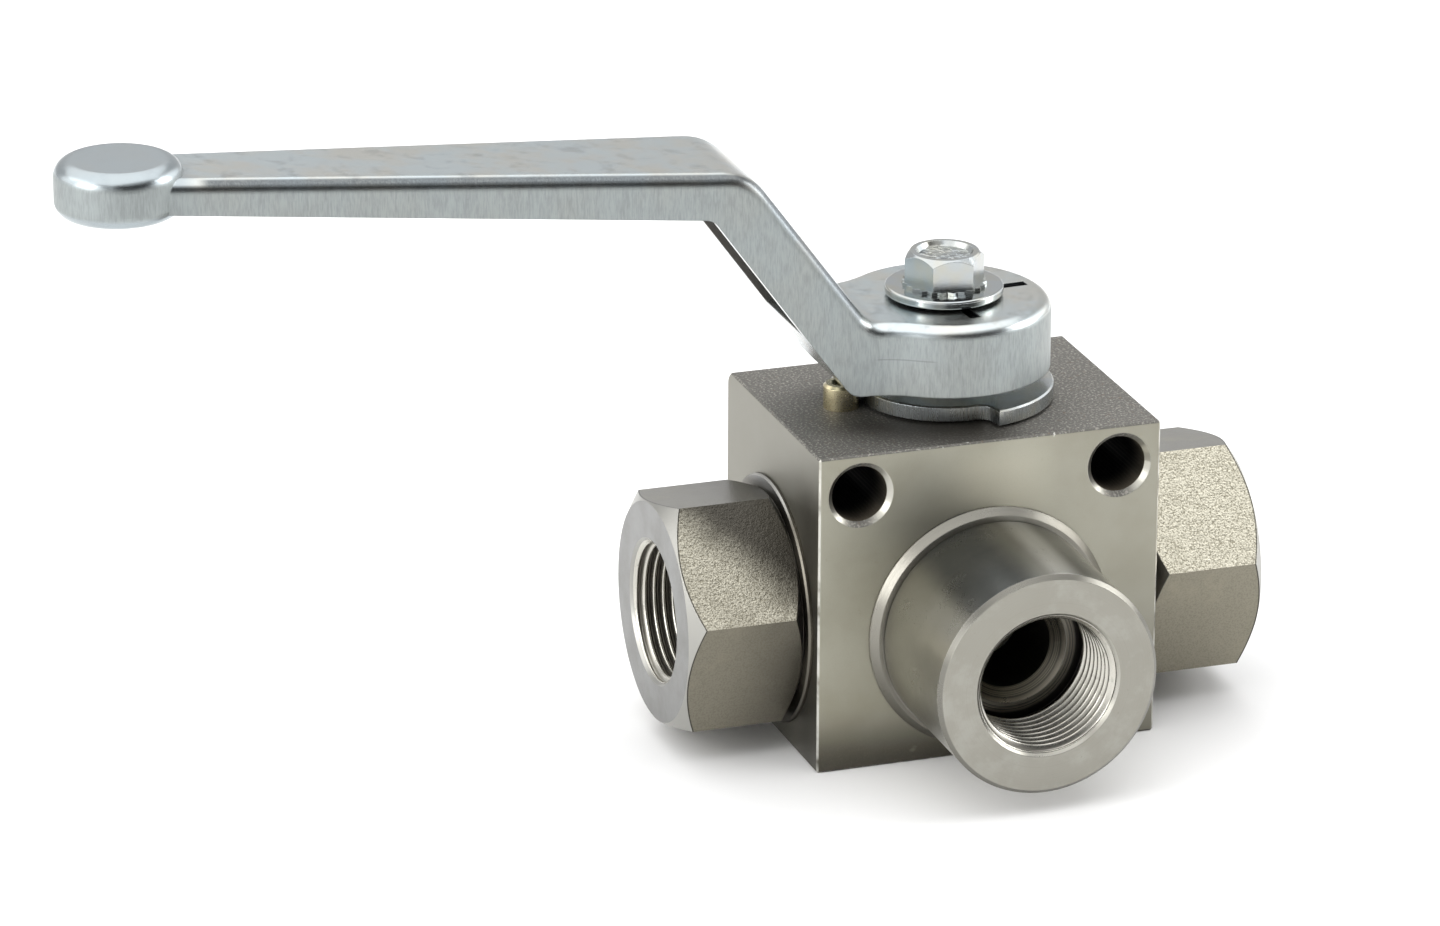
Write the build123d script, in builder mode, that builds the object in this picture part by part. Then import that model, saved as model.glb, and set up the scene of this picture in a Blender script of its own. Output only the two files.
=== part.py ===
"""Three-way block ball valve with a cranked hand lever.

The origin is the centre of the block's bottom face, straight under the stem.
+X points at the right-hand port, -Y at the front port and +Z up the stem.
All dimensions are millimetres.
"""

import os
from math import cos, pi, radians, sin, sqrt, tan

from build123d import *

# ---------------------------------------------------------------- driving dimensions

# Valve block
BLOCK_X = 66.0
BLOCK_Y = 51.0
BLOCK_Z = 61.0
BLOCK_RAW_RADIUS = 2.8
BLOCK_EDGE_BREAK = 0.35

# Ports: one axis height, one reach and one female thread for all three
PORT_Z = 25.0
PORT_REACH = 56.0
PORT_MAJOR_R = 13.22
PORT_MOUTH_R = 13.75
PORT_THREAD_DEPTH = 15.0
PORT_UNDERCUT_R = 13.6
PORT_UNDERCUT_DEPTH = 18.0
PORT_BORE_R = 8.0
PORT_BORE_BREAK = 2.4

# Port adapters
HEX_ACROSS_FLATS = 41.4
HEX_FACE_R = 20.5
HEX_INNER_FACE_R = 20.3
HEX_CHAMFER_DEG = 35.0
HEX_TURN_DEG = 11.4
BARREL_R = 21.0
BARREL_EDGE_BREAK = 0.8
BARREL_NECK_R = 20.55
BARREL_NECK_WIDTH = 0.5
COLLAR_R = 23.2
HEX_COLLAR_THICKNESS = 0.9
HEX_COLLAR_EDGE_BREAK = 0.35
BARREL_COLLAR_LAND = 0.4
BARREL_COLLAR_THICKNESS = 1.9
BARREL_COLLAR_TOP_R = 21.9
SPIGOT_R = 17.65
SPIGOT_END = 18.0
SPIGOT_GROOVE_R = 15.6
SPIGOT_GROOVE_WIDTH = 2.4
SPIGOT_GROOVE_SETBACK = 1.2
SPIGOT_SEAL_R = 16.65

# Ball, seats and their pockets
BALL_R = 17.5
BALL_BORE_R = 8.0
BALL_SLOT_WIDTH = 8.0
BALL_SLOT_DEPTH = 4.2
CHAMBER_R = 17.7
SEAT_CLEARANCE = 0.08
SEAT_BORE_R = 8.4
SEAT_LIP_R = 11.9
SEAT_R = 15.4
SEAT_SHOULDER = 16.5
SEAT_STEP = 18.6
SEAT_STEP_R = 13.3
SEAT_END = 20.6
SEAT_POCKET_R = 15.5
SEAT_POCKET_END = 20.65
SEAL_SECTION_R = 0.95
SEAT_SEAL_R = 14.4

# Stem
STEM_R = 7.0
STEM_BORE_R = 7.05
STEM_FLANGE_R = 9.0
STEM_FLANGE_BOTTOM = 42.9
STEM_FLANGE_TOP = 45.5
STEM_POCKET_R = 9.2
STEM_POCKET_BOTTOM = 36.0
STEM_POCKET_TOP = 46.5
STEM_TANG_WIDTH = 7.8
STEM_TANG_LENGTH = 15.0
STEM_TANG_BOTTOM = 38.6
STEM_SHOULDER = 61.5
STEM_TOP = 81.1
STEM_SQUARE = 10.0
STEM_SQUARE_CORNER = 0.6
SQUARE_CLEARANCE = 0.05
STEM_GROOVE_R = 5.35
STEM_GROOVE_HEIGHT = 2.0
LOWER_GROOVE_Z = 49.0
UPPER_GROOVE_Z = 54.0
STEM_SEAL_SECTION_R = 0.8
STEM_SEAL_R = 6.2
BACKUP_RING_HEIGHT = 1.2
BACKUP_RING_R = 6.95
THRUST_WASHER_GAP = 0.05
SCREW_HOLE_R = 4.05
SCREW_HOLE_DEPTH = 15.0

# Travel stop
STOP_DISC_R = 20.4
STOP_DISC_CUT_R = 15.8
STOP_DISC_THICKNESS = 2.8
STOP_DISC_EDGE_BREAK = 0.3
STOP_CORNER_R = 2.6
STOP_PIN_X = -19.8
STOP_PIN_R = 3.3
STOP_PIN_TOP = 65.6
STOP_PIN_EDGE_BREAK = 0.5
STOP_PIN_DIMPLE_R = 1.9
STOP_PIN_DIMPLE_DEPTH = 0.7
STOP_PIN_DIMPLE_TAPER_DEG = 40.0
STOP_PIN_SPIGOT_R = 2.0
STOP_PIN_SPIGOT_DEPTH = 3.0
STOP_PIN_HOLE_CLEARANCE = 0.01
STOP_CLEARANCE_DEG = 0.5
LEVER_TRAVEL_DEG = 90.0

# Lever: hub, cranked neck, tapering arm and round knob
HUB_R = 19.7
HUB_BOTTOM = 67.4
HUB_TOP = 80.6
HUB_BOSS_R = 10.0
HUB_FLARE_R = 16.0
NECK_HALF_WIDTH = 13.2
NECK_TOP_FOOT = (-18.6, HUB_TOP)
NECK_UNDER_FOOT = (-22.3, HUB_BOTTOM)
CRANK_TOP = (-41.7, 111.8)
CRANK_UNDER = (-49.0, 104.0)
ARM_TOP_END = (-150.0, 120.3)
ARM_UNDER_END = (-150.0, 114.2)
ARM_END_HALF_WIDTH = 9.0
NECK_FOOT_RADIUS = 5.0
CRANK_TOP_RADIUS = 10.5
CRANK_UNDER_RADIUS = 3.0
NECK_HEEL_RADIUS = 4.0
LEVER_EDGE_RADIUS = 2.4
CHANNEL_WALL = 3.2
CHANNEL_START = 6.0
CHANNEL_END_X = -140.0
CHANNEL_RUN_OUT = 14.0
KNOB_X = -154.5
KNOB_R = 11.4
KNOB_BOTTOM = 112.4
KNOB_TOP = 122.35
KNOB_TOP_RADIUS = 3.0
KNOB_BOTTOM_RADIUS = 2.6
UPPER_FACE_MIN_RISE = 0.2
MARK_WIDTH = 2.2
MARK_DEPTH = 0.5
MARK_TURN_DEG = 3.5
MARK_START = 8.0
LONG_MARK_END = 16.4
SHORT_MARK_END = 14.2

# Lever fastening
LEVER_WASHER_R = 10.9
LEVER_WASHER_THICKNESS = 1.6
LEVER_WASHER_EDGE_RADIUS = 0.45
TOOTH_WASHER_R = 7.8
TOOTH_WASHER_ROOT_R = 7.1
TOOTH_WASHER_THICKNESS = 0.6
TOOTH_COUNT = 24
WASHER_BORE_R = 4.3
SCREW_ACROSS_FLATS = 13.0
SCREW_HEAD_HEIGHT = 5.8
SCREW_CHAMFER_DEG = 46.0
SCREW_FACE_R = 6.25
SCREW_TURN_DEG = -6.0
SCREW_DISH_R = 5.3
SCREW_DISH_DEPTH = 0.9
SCREW_DISH_TAPER_DEG = 35.0
SCREW_R = 4.0
SCREW_LENGTH = 13.0

# Mounting holes along Y
MOUNT_X = 25.0
MOUNT_Z = 53.3
MOUNT_HOLE_R = 5.25
MOUNT_CHAMFER_R = 6.2

# ---------------------------------------------------------------- derived values

HALF_X = BLOCK_X / 2
HALF_Y = BLOCK_Y / 2
STOP_DISC_TOP = STEM_SHOULDER + STOP_DISC_THICKNESS
WASHER_TOP = STEM_TOP + LEVER_WASHER_THICKNESS
HEAD_BOTTOM = WASHER_TOP + TOOTH_WASHER_THICKNESS
HEAD_TOP = HEAD_BOTTOM + SCREW_HEAD_HEIGHT
SQUARE_HOLE = STEM_SQUARE + 2 * SQUARE_CLEARANCE

# side name: direction the port points in, and the block face it leaves from
PORTS = {
    "left": (Vector(-1, 0, 0), HALF_X),
    "right": (Vector(1, 0, 0), HALF_X),
    "front": (Vector(0, -1, 0), HALF_Y),
}
SEAT_SIDES = {side: direction for side, (direction, _) in PORTS.items()}
SEAT_SIDES["rear"] = Vector(0, 1, 0)

os.makedirs("parts", exist_ok=True)


def save(builder, node):
    """Label a finished piece and write its STEP file."""
    builder.part.label = node
    export_step(builder.part, f"parts/{node}.step")


def axial_plane(direction):
    """Plane through a port axis: local x runs out along the port, local y is the radius."""
    return Plane(origin=(0, 0, PORT_Z), x_dir=direction, z_dir=(0, 0, 1))


def port_axis(direction):
    """Axis of a port, pointing out of the valve."""
    return Axis((0, 0, PORT_Z), direction)


def corner(sketch, point):
    """The sketch's vertex nearest a point given in the sketch's own (x, y)."""
    return sketch.vertices().sort_by_distance((*point, 0))[0]


# ---------------------------------------------------------------- valve block

with BuildPart() as valve_block:
    with BuildSketch(Plane.YZ) as block_section:
        with Locations((0, BLOCK_Z / 2)):
            Rectangle(BLOCK_Y, BLOCK_Z)
        raw_corners = [
            corner(block_section, (HALF_Y, BLOCK_Z)),
            corner(block_section, (HALF_Y, 0)),
        ]
        fillet(raw_corners, BLOCK_RAW_RADIUS)
    extrude(amount=HALF_X, both=True)
    sawn_edges = valve_block.edges().group_by(Axis.X)[0] + valve_block.edges().group_by(Axis.X)[-1]
    front_edges = valve_block.edges().filter_by(Axis.X).group_by(Axis.Y)[0]
    chamfer(sawn_edges + front_edges, BLOCK_EDGE_BREAK)

    with BuildSketch(Plane.YZ):
        with Locations((0, PORT_Z)):
            Circle(CHAMBER_R)
    extrude(amount=BLOCK_X, both=True, mode=Mode.SUBTRACT)
    with BuildSketch(Plane.XZ.offset(-SPIGOT_END)):
        with Locations((0, PORT_Z)):
            Circle(CHAMBER_R)
    extrude(amount=BLOCK_Y, mode=Mode.SUBTRACT)
    with BuildSketch(Plane.XZ.offset(-SEAT_POCKET_END)):
        with Locations((0, PORT_Z)):
            Circle(SEAT_POCKET_R)
    extrude(amount=SEAT_POCKET_END, mode=Mode.SUBTRACT)

    with BuildSketch(Plane.XY.offset(STEM_POCKET_BOTTOM)):
        Circle(STEM_POCKET_R)
    extrude(amount=STEM_POCKET_TOP - STEM_POCKET_BOTTOM, mode=Mode.SUBTRACT)
    with BuildSketch(Plane.XY.offset(STEM_POCKET_BOTTOM)):
        Circle(STEM_BORE_R)
    extrude(amount=BLOCK_Z, mode=Mode.SUBTRACT)
    with BuildSketch(Plane.XY.offset(BLOCK_Z)):
        with Locations((STOP_PIN_X, 0)):
            Circle(STOP_PIN_SPIGOT_R + STOP_PIN_HOLE_CLEARANCE)
    extrude(amount=-STOP_PIN_SPIGOT_DEPTH, mode=Mode.SUBTRACT)

    with BuildSketch(Plane.XZ):
        with Locations((-MOUNT_X, MOUNT_Z), (MOUNT_X, MOUNT_Z)):
            Circle(MOUNT_HOLE_R)
    extrude(amount=BLOCK_Y, both=True, mode=Mode.SUBTRACT)
    mount_rims = (
        valve_block.edges()
        .filter_by(GeomType.CIRCLE)
        .filter_by(lambda edge: abs(edge.radius - MOUNT_HOLE_R) < BLOCK_EDGE_BREAK)
        .filter_by(lambda edge: abs(edge.center().Z - MOUNT_Z) < BLOCK_EDGE_BREAK)
    )
    chamfer(mount_rims, MOUNT_CHAMFER_R - MOUNT_HOLE_R)
save(valve_block, "valve_block")

# ---------------------------------------------------------------- port adapters


def port_outline(face, outer):
    """Half section of an adapter as (along, radius) corners.

    face is the block face the collar seats on, and outer holds the corners of the outside,
    from the collar's seat to the mouth.
    """
    groove_out = face - SPIGOT_GROOVE_SETBACK
    groove_in = groove_out - SPIGOT_GROOVE_WIDTH
    undercut_start = PORT_REACH - PORT_THREAD_DEPTH
    shoulder = PORT_REACH - PORT_UNDERCUT_DEPTH
    return [
        (SPIGOT_END, SEAT_POCKET_R),
        (SPIGOT_END, SPIGOT_R),
        (groove_in, SPIGOT_R),
        (groove_in, SPIGOT_GROOVE_R),
        (groove_out, SPIGOT_GROOVE_R),
        (groove_out, SPIGOT_R),
        (face, SPIGOT_R),
        *outer,
        (PORT_REACH, PORT_MOUTH_R),
        (PORT_REACH - (PORT_MOUTH_R - PORT_MAJOR_R), PORT_MAJOR_R),
        (undercut_start, PORT_MAJOR_R),
        (undercut_start, PORT_UNDERCUT_R),
        (shoulder, PORT_UNDERCUT_R),
        (shoulder, PORT_BORE_R + PORT_BORE_BREAK),
        (shoulder - PORT_BORE_BREAK, PORT_BORE_R),
        (SEAT_POCKET_END, PORT_BORE_R),
        (SEAT_POCKET_END, SEAT_POCKET_R),
    ]


def hexagon_outer(face):
    """Corners of a thin collar, then the hexagon with both of its ends turned to a chamfer."""
    start = face + HEX_COLLAR_THICKNESS
    vertex_r = HEX_ACROSS_FLATS / 2 / cos(pi / 6)
    slope = tan(radians(HEX_CHAMFER_DEG))
    return [
        (face, COLLAR_R),
        (start - HEX_COLLAR_EDGE_BREAK, COLLAR_R),
        (start, COLLAR_R - HEX_COLLAR_EDGE_BREAK),
        (start, HEX_INNER_FACE_R),
        (start + (vertex_r - HEX_INNER_FACE_R) * slope, vertex_r),
        (PORT_REACH - (vertex_r - HEX_FACE_R) * slope, vertex_r),
        (PORT_REACH, HEX_FACE_R),
    ]


def barrel_outer(face):
    """Corners of a conical collar, a narrow neck and the round barrel with its mouth edge."""
    collar_top = face + BARREL_COLLAR_THICKNESS
    start = collar_top + BARREL_NECK_WIDTH
    return [
        (face, COLLAR_R),
        (face + BARREL_COLLAR_LAND, COLLAR_R),
        (collar_top, BARREL_COLLAR_TOP_R),
        (collar_top, BARREL_NECK_R),
        (start, BARREL_NECK_R),
        (start, BARREL_R),
        (PORT_REACH - BARREL_EDGE_BREAK, BARREL_R),
        (PORT_REACH, BARREL_R - BARREL_EDGE_BREAK),
    ]


def make_adapter(direction, face, hexagonal):
    """Turned port adapter; the side ones are made from hexagon bar."""
    outer = hexagon_outer(face) if hexagonal else barrel_outer(face)
    with BuildPart() as adapter:
        with BuildSketch(axial_plane(direction)):
            with BuildLine():
                Polyline(*port_outline(face, outer), close=True)
            make_face()
        revolve(axis=port_axis(direction))
        if hexagonal:
            flats = Plane(
                origin=direction * (face + HEX_COLLAR_THICKNESS) + Vector(0, 0, PORT_Z),
                x_dir=(0, -1, 0),
                z_dir=direction,
            )
            turn = HEX_TURN_DEG if direction.X < 0 else -HEX_TURN_DEG
            with BuildSketch(flats):
                Circle(2 * HEX_ACROSS_FLATS)
                RegularPolygon(
                    HEX_ACROSS_FLATS / 2, 6, major_radius=False, rotation=turn, mode=Mode.SUBTRACT
                )
            extrude(amount=PORT_REACH, mode=Mode.SUBTRACT)
    return adapter


for side, (direction, face) in PORTS.items():
    save(make_adapter(direction, face, hexagonal=side != "front"), f"{side}_adapter")

# ---------------------------------------------------------------- seats and static seals


def sphere_point(radius):
    """Point (along, radius) on the seat's spherical face at a given radius."""
    reach = BALL_R + SEAT_CLEARANCE
    return (sqrt(reach**2 - radius**2), radius)


def make_seat(direction):
    """Ball seat ring: spherical lip, cone clear of its neighbours and a stepped back."""
    with BuildPart() as seat:
        with BuildSketch(axial_plane(direction)):
            with BuildLine():
                lip = ThreePointArc(
                    sphere_point(SEAT_BORE_R),
                    sphere_point((SEAT_BORE_R + SEAT_LIP_R) / 2),
                    sphere_point(SEAT_LIP_R),
                )
                Polyline(
                    lip @ 1,
                    (SEAT_SHOULDER, SEAT_R),
                    (SEAT_STEP, SEAT_R),
                    (SEAT_STEP, SEAT_STEP_R),
                    (SEAT_END, SEAT_STEP_R),
                    (SEAT_END, SEAT_BORE_R),
                    lip @ 0,
                )
            make_face()
        revolve(axis=port_axis(direction))
    return seat


def make_ring_seal(plane, axis, centre, section_r):
    """O-ring: a round section at (along, radius) on the plane, turned about the axis."""
    with BuildPart() as seal:
        with BuildSketch(plane):
            with Locations(centre):
                Circle(section_r)
        revolve(axis=axis)
    return seal


for side, direction in SEAT_SIDES.items():
    seal_centre = ((SEAT_STEP + SEAT_END) / 2, SEAT_SEAL_R)
    seat_seal = make_ring_seal(
        axial_plane(direction), port_axis(direction), seal_centre, SEAL_SECTION_R
    )
    save(make_seat(direction), f"{side}_seat")
    save(seat_seal, f"{side}_seat_seal")

for side, (direction, face) in PORTS.items():
    seal_centre = (face - SPIGOT_GROOVE_SETBACK - SPIGOT_GROOVE_WIDTH / 2, SPIGOT_SEAL_R)
    adapter_seal = make_ring_seal(
        axial_plane(direction), port_axis(direction), seal_centre, SEAL_SECTION_R
    )
    save(adapter_seal, f"{side}_adapter_seal")

# ---------------------------------------------------------------- ball

with BuildPart() as ball:
    with BuildSketch(Plane.XZ) as ball_section:
        with Locations((0, PORT_Z)):
            Circle(BALL_R)
            with Locations((-BALL_R, 0)):
                Rectangle(2 * BALL_R, 4 * BALL_R, mode=Mode.SUBTRACT)
    revolve(axis=Axis.Z)
    for direction in (PORTS["right"][0], PORTS["front"][0]):
        with BuildSketch(Plane(origin=(0, 0, PORT_Z), z_dir=direction)):
            Circle(BALL_BORE_R)
        extrude(amount=2 * BALL_R, mode=Mode.SUBTRACT)
    with Locations((0, 0, PORT_Z)):
        Sphere(BALL_BORE_R, mode=Mode.SUBTRACT)
    with BuildSketch(Plane.XY.offset(PORT_Z + BALL_R - BALL_SLOT_DEPTH)):
        Rectangle(BALL_SLOT_WIDTH, 2 * BALL_R)
    extrude(amount=BALL_R, mode=Mode.SUBTRACT)
save(ball, "ball")

# ---------------------------------------------------------------- stem and its seals

UPPER_GROOVE_TOP = UPPER_GROOVE_Z + STEM_GROOVE_HEIGHT + BACKUP_RING_HEIGHT

with BuildPart() as stem:
    with BuildSketch(Plane.XZ):
        with BuildLine():
            Polyline(
                (0, STEM_FLANGE_BOTTOM),
                (STEM_FLANGE_R, STEM_FLANGE_BOTTOM),
                (STEM_FLANGE_R, STEM_FLANGE_TOP),
                (STEM_R, STEM_FLANGE_TOP),
                (STEM_R, LOWER_GROOVE_Z),
                (STEM_GROOVE_R, LOWER_GROOVE_Z),
                (STEM_GROOVE_R, LOWER_GROOVE_Z + STEM_GROOVE_HEIGHT),
                (STEM_R, LOWER_GROOVE_Z + STEM_GROOVE_HEIGHT),
                (STEM_R, UPPER_GROOVE_Z),
                (STEM_GROOVE_R, UPPER_GROOVE_Z),
                (STEM_GROOVE_R, UPPER_GROOVE_TOP),
                (STEM_R, UPPER_GROOVE_TOP),
                (STEM_R, STEM_SHOULDER),
                (0, STEM_SHOULDER),
                close=True,
            )
        make_face()
    revolve(axis=Axis.Z)
    with BuildSketch(Plane.XY.offset(STEM_TANG_BOTTOM)):
        Rectangle(STEM_TANG_WIDTH, STEM_TANG_LENGTH)
    extrude(amount=STEM_FLANGE_TOP - STEM_TANG_BOTTOM)
    with BuildSketch(Plane.XY.offset(STEM_SHOULDER)):
        RectangleRounded(STEM_SQUARE, STEM_SQUARE, STEM_SQUARE_CORNER)
    extrude(amount=STEM_TOP - STEM_SHOULDER)
    with BuildSketch(Plane.XY.offset(STEM_TOP)):
        Circle(SCREW_HOLE_R)
    extrude(amount=-SCREW_HOLE_DEPTH, mode=Mode.SUBTRACT)
save(stem, "stem")

with BuildPart() as stem_thrust_washer:
    with BuildSketch(Plane.XY.offset(STEM_FLANGE_TOP)):
        Circle(STEM_FLANGE_R)
        Circle(STEM_BORE_R, mode=Mode.SUBTRACT)
    extrude(amount=STEM_POCKET_TOP - STEM_FLANGE_TOP - THRUST_WASHER_GAP)
save(stem_thrust_washer, "stem_thrust_washer")

for seal_name, groove_z in (("lower", LOWER_GROOVE_Z), ("upper", UPPER_GROOVE_Z)):
    seal_centre = (STEM_SEAL_R, groove_z + STEM_GROOVE_HEIGHT / 2)
    stem_seal = make_ring_seal(Plane.XZ, Axis.Z, seal_centre, STEM_SEAL_SECTION_R)
    save(stem_seal, f"stem_seal_{seal_name}")

with BuildPart() as stem_backup_ring:
    with BuildSketch(Plane.XY.offset(UPPER_GROOVE_TOP - BACKUP_RING_HEIGHT)):
        Circle(BACKUP_RING_R)
        Circle(STEM_GROOVE_R, mode=Mode.SUBTRACT)
    extrude(amount=BACKUP_RING_HEIGHT)
save(stem_backup_ring, "stem_backup_ring")

# ---------------------------------------------------------------- travel stop

PIN_HALF_ANGLE = 180 / pi * STOP_PIN_R / abs(STOP_PIN_X)
CUT_START_DEG = 180 - PIN_HALF_ANGLE - STOP_CLEARANCE_DEG
CUT_SWEEP_DEG = LEVER_TRAVEL_DEG + 2 * (PIN_HALF_ANGLE + STOP_CLEARANCE_DEG)


def polar(radius, angle_deg):
    """Point at a radius and an angle from +X."""
    return (radius * cos(radians(angle_deg)), radius * sin(radians(angle_deg)))


with BuildPart() as stop_disc:
    with BuildSketch(Plane.XY.offset(STEM_SHOULDER)) as disc_outline:
        Circle(STOP_DISC_R)
        with BuildLine():
            inner = CenterArc((0, 0), STOP_DISC_CUT_R, CUT_START_DEG, CUT_SWEEP_DEG)
            outer = CenterArc((0, 0), STOP_DISC_R + STOP_PIN_R, CUT_START_DEG, CUT_SWEEP_DEG)
            Line(inner @ 0, outer @ 0)
            Line(inner @ 1, outer @ 1)
        make_face(mode=Mode.SUBTRACT)
        step_roots = [
            corner(disc_outline, polar(STOP_DISC_CUT_R, angle))
            for angle in (CUT_START_DEG, CUT_START_DEG + CUT_SWEEP_DEG)
        ]
        fillet(step_roots, STOP_CORNER_R)
        Rectangle(SQUARE_HOLE, SQUARE_HOLE, mode=Mode.SUBTRACT)
    extrude(amount=STOP_DISC_THICKNESS)
    disc_top = stop_disc.faces().sort_by(Axis.Z)[-1]
    chamfer(disc_top.outer_wire().edges(), STOP_DISC_EDGE_BREAK)
save(stop_disc, "stop_disc")

with BuildPart() as stop_pin:
    with BuildSketch(Plane.XY.offset(BLOCK_Z)):
        with Locations((STOP_PIN_X, 0)):
            Circle(STOP_PIN_R)
    extrude(amount=STOP_PIN_TOP - BLOCK_Z)
    chamfer(stop_pin.edges().group_by(Axis.Z)[-1], STOP_PIN_EDGE_BREAK)
    with BuildSketch(Plane.XY.offset(BLOCK_Z)):
        with Locations((STOP_PIN_X, 0)):
            Circle(STOP_PIN_SPIGOT_R)
    extrude(amount=-STOP_PIN_SPIGOT_DEPTH)
    with BuildSketch(Plane.XY.offset(STOP_PIN_TOP)):
        with Locations((STOP_PIN_X, 0)):
            Circle(STOP_PIN_DIMPLE_R)
    extrude(amount=-STOP_PIN_DIMPLE_DEPTH, taper=STOP_PIN_DIMPLE_TAPER_DEG, mode=Mode.SUBTRACT)
save(stop_pin, "stop_pin")

# ---------------------------------------------------------------- lever

neck_rise = (Vector(*CRANK_TOP) - Vector(*NECK_TOP_FOOT)).normalized()
arm_run = (Vector(*ARM_TOP_END) - Vector(*CRANK_TOP)).normalized()
neck_inward = Vector(-neck_rise.Y, neck_rise.X)
arm_inward = Vector(-arm_run.Y, arm_run.X)


def arm_plan(inset):
    """Corners of the neck and arm seen from above, narrowed by an inset on each side."""
    return [
        (0, NECK_HALF_WIDTH - inset),
        (CRANK_UNDER[0], NECK_HALF_WIDTH - inset),
        (ARM_TOP_END[0], ARM_END_HALF_WIDTH - inset),
        (ARM_TOP_END[0], -ARM_END_HALF_WIDTH + inset),
        (CRANK_UNDER[0], -NECK_HALF_WIDTH + inset),
        (0, -NECK_HALF_WIDTH + inset),
    ]


with BuildPart() as channel:
    wall = CHANNEL_WALL
    channel_foot = Vector(*NECK_TOP_FOOT) + neck_rise * CHANNEL_START + neck_inward * wall
    channel_bend = Vector(*CRANK_TOP) + (neck_inward + arm_inward) * (
        wall / (1 + neck_inward.dot(arm_inward))
    )
    channel_tip = channel_bend + arm_run * ((CHANNEL_END_X - channel_bend.X) / arm_run.X)
    with BuildSketch(Plane.XZ):
        with BuildLine():
            Polyline(
                channel_foot,
                channel_bend,
                channel_tip,
                channel_tip + arm_inward * CHANNEL_RUN_OUT,
                channel_bend + arm_inward * 2 * CHANNEL_RUN_OUT,
                channel_foot + neck_inward * CHANNEL_RUN_OUT,
                close=True,
            )
        make_face()
    extrude(amount=HUB_R, both=True)
    with BuildSketch(Plane.XY):
        with BuildLine():
            Polyline(*arm_plan(CHANNEL_WALL), close=True)
        make_face()
    extrude(amount=2 * HUB_TOP, mode=Mode.INTERSECT)

with BuildPart() as lever:
    with BuildSketch(Plane.XY) as plan:
        with BuildLine():
            Polyline(*arm_plan(0), close=True)
        make_face()
        Circle(HUB_R)
        flare_x = -sqrt(HUB_R**2 - NECK_HALF_WIDTH**2)
        flare_corners = [corner(plan, (flare_x, y)) for y in (NECK_HALF_WIDTH, -NECK_HALF_WIDTH)]
        fillet(flare_corners, HUB_FLARE_R)
    extrude(amount=2 * HUB_TOP)
    with BuildSketch(Plane.XZ) as elevation:
        with BuildLine():
            Polyline(
                (2 * HUB_R, HUB_TOP),
                NECK_TOP_FOOT,
                CRANK_TOP,
                ARM_TOP_END,
                ARM_UNDER_END,
                CRANK_UNDER,
                NECK_UNDER_FOOT,
                (2 * HUB_R, HUB_BOTTOM),
                close=True,
            )
        make_face()
        bends = (
            (NECK_TOP_FOOT, NECK_FOOT_RADIUS),
            (CRANK_TOP, CRANK_TOP_RADIUS),
            (CRANK_UNDER, CRANK_UNDER_RADIUS),
            (NECK_UNDER_FOOT, NECK_HEEL_RADIUS),
        )
        for bend, radius in bends:
            fillet(corner(elevation, bend), radius)
    extrude(amount=2 * HUB_R, both=True, mode=Mode.INTERSECT)

    upper_faces = lever.faces().filter_by(lambda face: face.normal_at().Z > UPPER_FACE_MIN_RISE)
    upper_edges = [edge for face in upper_faces for edge in face.edges()]
    rim_edges = [
        edge
        for edge in upper_edges
        if sum(edge.is_same(other) for other in upper_edges) == 1
        and edge.center().X > ARM_TOP_END[0] + KNOB_TOP_RADIUS
    ]
    fillet(rim_edges, LEVER_EDGE_RADIUS)
    add(channel.part, mode=Mode.SUBTRACT)

    with BuildSketch(Plane.XY.offset(KNOB_BOTTOM)):
        with Locations((KNOB_X, 0)):
            Circle(KNOB_R)
    knob = extrude(amount=KNOB_TOP - KNOB_BOTTOM, mode=Mode.PRIVATE)
    knob = knob.fillet(KNOB_TOP_RADIUS, knob.edges().group_by(Axis.Z)[-1])
    knob = knob.fillet(KNOB_BOTTOM_RADIUS, knob.edges().group_by(Axis.Z)[0])
    add(knob)

    with BuildSketch(Plane.XY.offset(STOP_DISC_TOP)):
        Circle(HUB_BOSS_R)
    extrude(amount=HUB_BOTTOM - STOP_DISC_TOP)
    with BuildSketch(Plane.XY.offset(STOP_DISC_TOP)):
        Rectangle(SQUARE_HOLE, SQUARE_HOLE)
    extrude(amount=HUB_TOP, mode=Mode.SUBTRACT)
    with BuildSketch(Plane.XY.offset(HUB_TOP)):
        with Locations(polar((MARK_START + LONG_MARK_END) / 2, MARK_TURN_DEG)):
            Rectangle(LONG_MARK_END - MARK_START, MARK_WIDTH, rotation=MARK_TURN_DEG)
        with Locations(polar((MARK_START + SHORT_MARK_END) / 2, MARK_TURN_DEG - 90)):
            Rectangle(MARK_WIDTH, SHORT_MARK_END - MARK_START, rotation=MARK_TURN_DEG)
    extrude(amount=-MARK_DEPTH, mode=Mode.SUBTRACT)
save(lever, "lever")

# ---------------------------------------------------------------- lever fastening

with BuildPart() as lever_washer:
    with BuildSketch(Plane.XY.offset(STEM_TOP)):
        Circle(LEVER_WASHER_R)
        Circle(WASHER_BORE_R, mode=Mode.SUBTRACT)
    extrude(amount=LEVER_WASHER_THICKNESS)
    outer_rims = lever_washer.edges().filter_by(
        lambda edge: abs(edge.radius - LEVER_WASHER_R) < LEVER_WASHER_EDGE_RADIUS
        if edge.geom_type == GeomType.CIRCLE
        else False
    )
    fillet(outer_rims, LEVER_WASHER_EDGE_RADIUS)
save(lever_washer, "lever_washer")

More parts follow.
